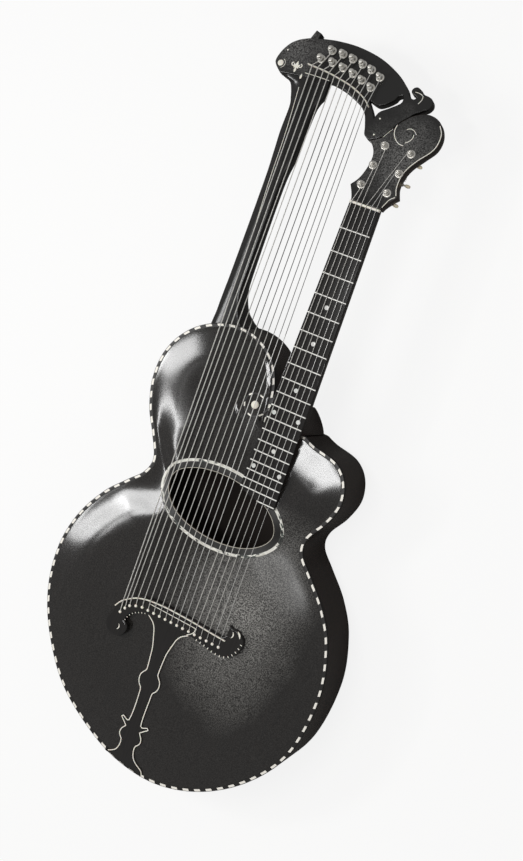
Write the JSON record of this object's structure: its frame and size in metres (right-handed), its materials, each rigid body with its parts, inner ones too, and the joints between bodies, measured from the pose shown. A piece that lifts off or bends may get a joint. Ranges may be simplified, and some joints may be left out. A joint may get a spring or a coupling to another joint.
{
  "type": "harp guitar",
  "caption": "Harp guitar with a carved scroll body, fretted neck, harp arm with sub-bass strings, turning bass pegs and worm-geared tuners.",
  "frame": {"origin": "middle of the flat crown of the carved back, which the instrument lies on", "axes": "+Z out of the soundboard, +Y along the strings towards the heads, +X to the treble side"},
  "size_m": [0.517, 1.2129, 0.1386],
  "materials": {
    "mahogany_lacquered": "near-black lacquer over mahogany, polished",
    "spruce_lacquered": "near-black lacquer over carved spruce, polished",
    "lacquered_hardwood": "near-black lacquer, polished",
    "cedar_block": "bare wood",
    "ebony": "oiled ebony",
    "ivory": "polished ivoroid",
    "ivory_binding": "ivoroid and black striped binding",
    "pearl_inlay": "mother-of-pearl and ivoroid inlay",
    "nickel_plate": "nickel-plated brass",
    "nickel_post": "nickel-plated brass",
    "nickel_worm": "nickel-plated brass",
    "nickel_peg": "nickel-plated steel",
    "steel_string": "plain steel wire",
    "wound_string": "silver-plated wound wire"
  },
  "bodies": {
    "instrument": {"back_plate": "mahogany_lacquered", "rim": "mahogany_lacquered", "neck_block": "cedar_block", "tail_block": "cedar_block", "soundboard": "spruce_lacquered", "soundhole_rosette": "pearl_inlay", "top_binding": "ivory_binding", "neck": "mahogany_lacquered", "fingerboard": "ebony", "nut": "ivory", "harp_arm": "lacquered_hardwood", "harp_head": "lacquered_hardwood", "bass_nut": "ivory", "bridge": "ebony", "saddle": "ivory", "tail_strap": "ebony", "tuner_plate_bass": "nickel_plate", "tuner_plate_treble": "nickel_plate", "string_bass_01": "wound_string", "string_bass_02": "wound_string", "string_bass_03": "wound_string", "string_bass_04": "wound_string", "string_bass_05": "wound_string", "string_bass_06": "wound_string", "string_bass_07": "wound_string", "string_bass_08": "wound_string", "string_bass_09": "wound_string", "string_bass_10": "wound_string", "string_bass_11": "wound_string", "string_bass_12": "wound_string", "string_neck_1": "steel_string", "string_neck_2": "steel_string", "string_neck_3": "steel_string", "string_neck_4": "steel_string", "string_neck_5": "steel_string", "string_neck_6": "steel_string"},
    "bass_peg_01": {"bass_peg_01": "nickel_peg"},
    "bass_peg_02": {"bass_peg_02": "nickel_peg"},
    "bass_peg_03": {"bass_peg_03": "nickel_peg"},
    "bass_peg_04": {"bass_peg_04": "nickel_peg"},
    "bass_peg_05": {"bass_peg_05": "nickel_peg"},
    "bass_peg_06": {"bass_peg_06": "nickel_peg"},
    "bass_peg_07": {"bass_peg_07": "nickel_peg"},
    "bass_peg_08": {"bass_peg_08": "nickel_peg"},
    "bass_peg_09": {"bass_peg_09": "nickel_peg"},
    "bass_peg_10": {"bass_peg_10": "nickel_peg"},
    "bass_peg_11": {"bass_peg_11": "nickel_peg"},
    "bass_peg_12": {"bass_peg_12": "nickel_peg"},
    "tuner_post_bass_1": {"tuner_post_bass_1": "nickel_post"},
    "tuner_worm_bass_1": {"tuner_worm_bass_1": "nickel_worm"},
    "tuner_post_bass_2": {"tuner_post_bass_2": "nickel_post"},
    "tuner_worm_bass_2": {"tuner_worm_bass_2": "nickel_worm"},
    "tuner_post_bass_3": {"tuner_post_bass_3": "nickel_post"},
    "tuner_worm_bass_3": {"tuner_worm_bass_3": "nickel_worm"},
    "tuner_post_treble_1": {"tuner_post_treble_1": "nickel_post"},
    "tuner_worm_treble_1": {"tuner_worm_treble_1": "nickel_worm"},
    "tuner_post_treble_2": {"tuner_post_treble_2": "nickel_post"},
    "tuner_worm_treble_2": {"tuner_worm_treble_2": "nickel_worm"},
    "tuner_post_treble_3": {"tuner_post_treble_3": "nickel_post"},
    "tuner_worm_treble_3": {"tuner_worm_treble_3": "nickel_worm"}
  },
  "joints": [
    {"name": "bass_peg_01_turn", "type": "hinge", "parent": "instrument", "child": "bass_peg_01", "pos_m": [-0.10693, 0.76225, 0.09959], "axis": [0, 0.1478, 0.989], "continuous": true},
    {"name": "bass_peg_02_turn", "type": "hinge", "parent": "instrument", "child": "bass_peg_02", "pos_m": [-0.09519, 0.77871, 0.09713], "axis": [0, 0.1478, 0.989], "continuous": true},
    {"name": "bass_peg_03_turn", "type": "hinge", "parent": "instrument", "child": "bass_peg_03", "pos_m": [-0.08664, 0.76158, 0.09969], "axis": [0, 0.1478, 0.989], "continuous": true},
    {"name": "bass_peg_04_turn", "type": "hinge", "parent": "instrument", "child": "bass_peg_04", "pos_m": [-0.07623, 0.77826, 0.0972], "axis": [0, 0.1478, 0.989], "continuous": true},
    {"name": "bass_peg_05_turn", "type": "hinge", "parent": "instrument", "child": "bass_peg_05", "pos_m": [-0.06742, 0.75865, 0.10013], "axis": [0, 0.1478, 0.989], "continuous": true},
    {"name": "bass_peg_06_turn", "type": "hinge", "parent": "instrument", "child": "bass_peg_06", "pos_m": [-0.05807, 0.77556, 0.0976], "axis": [0, 0.1478, 0.989], "continuous": true},
    {"name": "bass_peg_07_turn", "type": "hinge", "parent": "instrument", "child": "bass_peg_07", "pos_m": [-0.04873, 0.75459, 0.10074], "axis": [0, 0.1478, 0.989], "continuous": true},
    {"name": "bass_peg_08_turn", "type": "hinge", "parent": "instrument", "child": "bass_peg_08", "pos_m": [-0.03992, 0.77217, 0.09811], "axis": [0, 0.1478, 0.989], "continuous": true},
    {"name": "bass_peg_09_turn", "type": "hinge", "parent": "instrument", "child": "bass_peg_09", "pos_m": [-0.03111, 0.74917, 0.10154], "axis": [0, 0.1478, 0.989], "continuous": true},
    {"name": "bass_peg_10_turn", "type": "hinge", "parent": "instrument", "child": "bass_peg_10", "pos_m": [-0.0231, 0.76812, 0.09871], "axis": [0, 0.1478, 0.989], "continuous": true},
    {"name": "bass_peg_11_turn", "type": "hinge", "parent": "instrument", "child": "bass_peg_11", "pos_m": [-0.01322, 0.74264, 0.10252], "axis": [0, 0.1478, 0.989], "continuous": true},
    {"name": "bass_peg_12_turn", "type": "hinge", "parent": "instrument", "child": "bass_peg_12", "pos_m": [-0.00574, 0.7609, 0.09979], "axis": [0, 0.1478, 0.989], "continuous": true},
    {"name": "tuner_worm_bass_1_turn", "type": "hinge", "parent": "instrument", "child": "tuner_worm_bass_1", "pos_m": [0.0339, 0.5903, 0.10355], "axis": [1, 0, 0], "continuous": true},
    {"name": "tuner_post_bass_1_turn", "type": "hinge", "parent": "instrument", "child": "tuner_post_bass_1", "pos_m": [0.0339, 0.60238, 0.12348], "axis": [0, 0.1478, 0.989], "continuous": true},
    {"name": "tuner_worm_bass_2_turn", "type": "hinge", "parent": "instrument", "child": "tuner_worm_bass_2", "pos_m": [0.03924, 0.62277, 0.0987], "axis": [1, 0, 0], "continuous": true},
    {"name": "tuner_post_bass_2_turn", "type": "hinge", "parent": "instrument", "child": "tuner_post_bass_2", "pos_m": [0.03924, 0.63485, 0.11863], "axis": [0, 0.1478, 0.989], "continuous": true},
    {"name": "tuner_worm_bass_3_turn", "type": "hinge", "parent": "instrument", "child": "tuner_worm_bass_3", "pos_m": [0.04458, 0.65524, 0.09384], "axis": [1, 0, 0], "continuous": true},
    {"name": "tuner_post_bass_3_turn", "type": "hinge", "parent": "instrument", "child": "tuner_post_bass_3", "pos_m": [0.04458, 0.66732, 0.11378], "axis": [0, 0.1478, 0.989], "continuous": true},
    {"name": "tuner_worm_treble_1_turn", "type": "hinge", "parent": "instrument", "child": "tuner_worm_treble_1", "pos_m": [0.0769, 0.5903, 0.10355], "axis": [1, 0, 0], "continuous": true},
    {"name": "tuner_post_treble_1_turn", "type": "hinge", "parent": "instrument", "child": "tuner_post_treble_1", "pos_m": [0.0769, 0.60238, 0.12348], "axis": [0, 0.1478, 0.989], "continuous": true},
    {"name": "tuner_worm_treble_2_turn", "type": "hinge", "parent": "instrument", "child": "tuner_worm_treble_2", "pos_m": [0.08224, 0.62277, 0.0987], "axis": [1, 0, 0], "continuous": true},
    {"name": "tuner_post_treble_2_turn", "type": "hinge", "parent": "instrument", "child": "tuner_post_treble_2", "pos_m": [0.08224, 0.63485, 0.11863], "axis": [0, 0.1478, 0.989], "continuous": true},
    {"name": "tuner_worm_treble_3_turn", "type": "hinge", "parent": "instrument", "child": "tuner_worm_treble_3", "pos_m": [0.08758, 0.65524, 0.09384], "axis": [1, 0, 0], "continuous": true},
    {"name": "tuner_post_treble_3_turn", "type": "hinge", "parent": "instrument", "child": "tuner_post_treble_3", "pos_m": [0.08758, 0.66732, 0.11378], "axis": [0, 0.1478, 0.989], "continuous": true}
  ],
  "couplings": [
    {"joint": "tuner_post_bass_1_turn", "follows": "tuner_worm_bass_1_turn", "ratio": -0.071429},
    {"joint": "tuner_post_bass_2_turn", "follows": "tuner_worm_bass_2_turn", "ratio": -0.071429},
    {"joint": "tuner_post_bass_3_turn", "follows": "tuner_worm_bass_3_turn", "ratio": -0.071429},
    {"joint": "tuner_post_treble_1_turn", "follows": "tuner_worm_treble_1_turn", "ratio": -0.071429},
    {"joint": "tuner_post_treble_2_turn", "follows": "tuner_worm_treble_2_turn", "ratio": -0.071429},
    {"joint": "tuner_post_treble_3_turn", "follows": "tuner_worm_treble_3_turn", "ratio": -0.071429}
  ]
}
